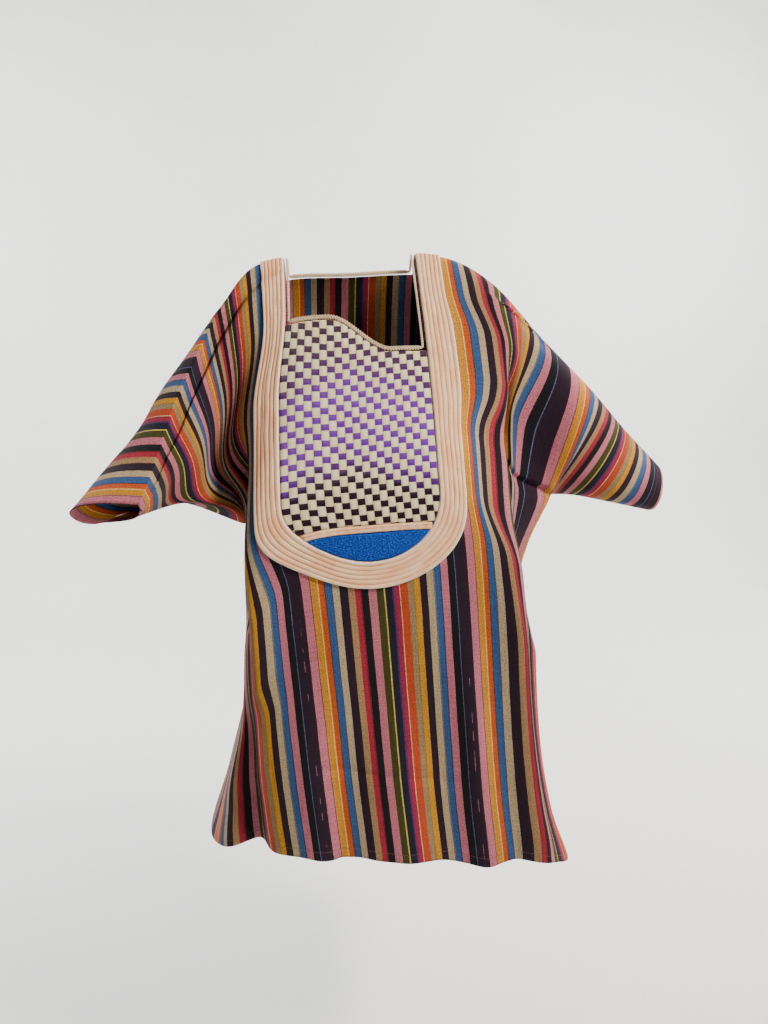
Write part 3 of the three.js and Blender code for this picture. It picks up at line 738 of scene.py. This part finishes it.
def purple_cream_satin():
    """The blocks of weave_phase, violet in the middle and darker towards the ends and sides of the
    yoke, with painted light on each column's crown and painted shade in the grooves between columns.
    """
    look = Look("purple_cream_satin", roughness=0.45, sheen=0.0, specular=0.25)
    u, t = look.places("flat")
    reach = look.math("DIVIDE", look.math("ADD", u, FIELD_HALF), WEAVE_COLUMN)
    column = look.math("FLOOR", reach)
    in_column = look.math("SUBTRACT", reach, column)
    slant = look.math("MULTIPLY", look.math("SUBTRACT", in_column, 0.5), WEAVE_SLANT * WEAVE_COLUMN)
    left = look.math("MAXIMUM", look.math("SUBTRACT", WEAVE_CURL_FROM, u), 0.0)
    curl = look.math("MULTIPLY", look.math("MULTIPLY", left, left), WEAVE_CURL)
    phase = look.math("DIVIDE", look.math("ADD", look.math("ADD", t, curl), slant), WEAVE_PERIOD)
    phase = look.math("FRACT", look.math("SUBTRACT", phase, look.math("MULTIPLY", column, WEAVE_STEP)))
    purple = look.math("LESS_THAN", phase, PURPLE_SHARE)
    # the violet is darker towards the top and the bottom of the yoke, and further from its middle
    dip = look.math("MULTIPLY", look.math("ABSOLUTE", look.math("ADD", u, 10)), 0.0012)
    cloud = look.math("MULTIPLY", look.noise(u, t, 0.05, 0.08), 0.14)
    down_yoke = look.math("ADD", look.math("DIVIDE", t, 280), cloud)
    violet = look.ramp(look.math("SUBTRACT", down_yoke, dip), [
        (0.36, linear((0.18, 0.01, 0.17))), (0.48, linear((0.28, 0.03, 0.34))),
        (0.60, linear((0.42, 0.09, 0.64))), (0.82, linear((0.38, 0.07, 0.58))),
        (0.91, linear((0.13, 0.0, 0.14))), (1.0, linear((0.12, 0.0, 0.11))),
    ])
    cream = look.ramp(look.noise(u, t, 0.08, 0.06), [
        (0.3, linear((0.90, 0.82, 0.62))), (0.7, linear((0.95, 0.89, 0.74)))])
    colour = look.blend(purple, cream, violet)
    # painted light and shade: each column is lighter along its raised crown and darker towards its
    # sides
    lit = look.math("SINE", look.math("MULTIPLY", in_column, math.pi))
    colour = look.shade(colour, look.math("ADD", look.math("MULTIPLY", lit, 0.22), 0.82))
    # painted shade: darker along the grooves between the columns
    seam = look.near(look.math("PINGPONG", in_column, 0.5), 0.0, 0.07, 0.05)
    colour = look.shade(colour, look.math("SUBTRACT", 1.0, look.math("MULTIPLY", seam, 0.35)))
    thread = look.wave(u, 0.76)
    strands = look.noise(u, t, 1.6, 0.15)
    colour = look.shade(colour, look.math("ADD", look.math("MULTIPLY", strands, 0.35), 0.83))
    height = look.math("ADD", look.math("MULTIPLY", thread, 0.5), strands)
    return look.finish(colour, height, 0.2)


def blue_fill():
    look = Look("blue_fill", roughness=0.5, sheen=0.0, specular=0.2)
    u, t = look.places("flat")
    grain = look.noise(u, t, 0.55, 0.9, detail=4.0)
    colour = look.ramp(grain, [
        (0.30, linear((0.0, 0.10, 0.36))), (0.5, linear((0.0, 0.24, 0.64))),
        (0.72, linear((0.0, 0.42, 0.86)))])
    return look.finish(colour, grain, 1.4)


def cream_cord():
    look = Look("cream_cord", roughness=0.6, sheen=0.15, specular=0.4)
    s, q = look.places("local")
    strands = look.noise(s, q, 0.9, 2.0)
    colour = look.ramp(strands, [
        (0.3, linear((0.88, 0.74, 0.58))), (0.7, linear((0.97, 0.90, 0.78)))])
    return look.finish(colour, look.wave(look.math("ADD", s, q), 1.0), 0.1)


def floor_paint():
    look = Look("floor", roughness=0.9, specular=0.1)
    coordinates = look.node("ShaderNodeTexCoord")
    grain = look.node("ShaderNodeTexNoise")
    look.plug(coordinates.outputs["Object"], grain.inputs["Vector"])
    colour = look.ramp(grain.outputs["Fac"], [
        (0.0, (0.80, 0.80, 0.79, 1)), (1.0, (0.84, 0.84, 0.83, 1))])
    return look.finish(colour, grain.outputs["Fac"], 0.1)


COTTON, SATIN, BASKET, BLUE, CORD = (
    striped_cotton(), cream_satin(), purple_cream_satin(), blue_fill(), cream_cord())


def dress(piece, look, slot, *nodes):
    """Gives a piece its material, hangs it from the root and hides the solids that it stands for; slot
    is not used.
    """
    piece.data.materials.append(look)
    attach(piece, "root")
    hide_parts(*nodes)
    return piece


# ---- the pieces ----
front = dress(panel("front"), COTTON, "striped_cotton", "front")
back = dress(panel("back"), COTTON, "striped_cotton", "back")
thicken(front, CLOTH_THICK)
thicken(back, CLOTH_THICK)

BAND_STEP = 2.2
front_run = edge_run(BAND_INNER, BAND_STRAIGHT, BAND_INNER, BAND_ROUND, BAND_STEP)
neck_band = dress(band("neck_band_rows", "front", front_run), SATIN, "cream_satin", "neck_band")
back_run = edge_run(BAND_INNER, BACK_NECK, BAND_EDGE, BAND_EDGE, BAND_STEP)
back_band = dress(
    band("back_neck_band_rows", "back", back_run), SATIN, "cream_satin", "back_neck_band")

BAR_FOOT = BAR_TOP + BAR_DEPTH
yoke = dress(
    field("yoke_weave", FIELD_HALF, neckline, lambda u: np.minimum(BAR_TOP, round_bottom(u)),
          160, 160, weave_height),
    BASKET, "purple_cream_satin", "yoke_panel")
bar = dress(
    field("yoke_bar_rows", chord_at(BAR_TOP + 3), level(BAR_TOP), level(BAR_FOOT),
          60, 10, lambda u, t: 2.4 + 0.4 * np.sin(u * 2.2)),
    SATIN, "cream_satin", "yoke_bar")
crescent = dress(
    field("crescent_fill", chord_at(BAR_FOOT) - 0.5, level(BAR_FOOT),
          lambda u: np.maximum(round_bottom(u), BAR_FOOT + 0.3), 150, 40, knots),
    BLUE, "blue_fill", "crescent")



def cord_line(left_depth, right_depth, left_steps, right_steps, edge):
    """Flat places down the left of the opening, along its edge and up the right."""
    left = np.linspace(CORD_TOP, left_depth - CORD_IN, left_steps)
    right = np.linspace(right_depth - CORD_IN, CORD_TOP, right_steps)
    across = np.linspace(-CORD_HALF, CORD_HALF, 40)
    return (
        [(-CORD_HALF, t) for t in left[:-1]]
        + [(u, float(edge(u)) - CORD_IN) for u in across]
        + [(CORD_HALF, t) for t in right[1:]]
    )


front_line = cord_line(NECK_LEFT, NECK_RIGHT, 12, 16, neckline)
back_line = cord_line(BACK_NECK, BACK_NECK, 6, 6, lambda u: BACK_NECK)
neck_cord = dress(
    twisted_cord("neck_cord_twist", "front", front_line), CORD, "cream_cord", "neck_cord")
back_cord = dress(
    twisted_cord("back_neck_cord_twist", "back", back_line), CORD, "cream_cord", "back_neck_cord")


# ---- stage, light and camera ----
def floor(z, near, depth, wall, bend, half):
    """A pale floor that curves up into a backdrop."""
    profile = [(near, z), (depth - bend, z)]
    profile += [(depth - bend + bend * math.sin(a), z + bend - bend * math.cos(a))
                for a in np.linspace(0, math.pi / 2, 12)[1:]]
    profile.append((depth, wall))
    points = [(x, y, h) for y, h in profile for x in (-half, half)]
    faces = [(2 * k, 2 * k + 1, 2 * k + 3, 2 * k + 2) for k in range(len(profile) - 1)]
    mesh = bpy.data.meshes.new("floor")
    mesh.from_pydata(points, [], faces)
    mesh.polygons.foreach_set("use_smooth", [True] * len(faces))
    made = bpy.data.objects.new("floor", mesh)
    bpy.context.scene.collection.objects.link(made)
    made.data.materials.append(floor_paint())


def softbox(name, place, aim, size, power, tint=(1.0, 1.0, 1.0)):
    data = bpy.data.lights.new(name, "AREA")
    data.shape, data.size, data.energy, data.color = "DISK", size, power, tint
    lamp = bpy.data.objects.new(name, data)
    lamp.location = place
    lamp.rotation_euler = (Vector(aim) - Vector(place)).to_track_quat("-Z", "Y").to_euler()
    bpy.context.scene.collection.objects.link(lamp)


floor(z=-1.15, near=-3.0, depth=2.2, wall=3.0, bend=0.6, half=4.0)
softbox("key", (1.2, -0.9, 1.0), (0.1, 0, -0.2), 0.45, 68, (1.0, 0.93, 0.84))
softbox("fill", (0.5, -2.2, 0.5), (0, 0, -0.3), 1.6, 4, (1.0, 0.95, 0.90))
softbox("back_wash", (0.6, 1.6, 1.6), (0, 0.4, 0), 1.6, 18)
for name, side in (("left", -1), ("right", 1)):
    softbox("backdrop_" + name, (side * 1.7, 0.7, 0.5), (side * 0.3, 2.2, -0.6), 1.4, 75)

world = bpy.data.worlds.new("studio")
world.use_nodes = True
air = world.node_tree.nodes["Background"]
air.inputs["Color"].default_value = (1.0, 0.96, 0.92, 1)
air.inputs["Strength"].default_value = 0.2
bpy.context.scene.world = world

CAMERA_PLACE = (-0.0669, -0.8275, -0.050)
CAMERA_TURN, CAMERA_DOWN, CAMERA_ROLL = -6, 15.5, -2.6  # degrees
lens = bpy.data.cameras.new("camera")
lens.lens, lens.sensor_width = 26.0, 36.0
lens.clip_start, lens.clip_end = 0.05, 50
camera = bpy.data.objects.new("camera", lens)
camera.matrix_world = (
    Matrix.Translation(CAMERA_PLACE)
    @ Matrix.Rotation(math.radians(CAMERA_TURN), 4, "Z")
    @ Matrix.Rotation(math.radians(90 - CAMERA_DOWN), 4, "X")
    @ Matrix.Rotation(math.radians(CAMERA_ROLL), 4, "Z")
)
bpy.context.scene.collection.objects.link(camera)
bpy.context.scene.camera = camera
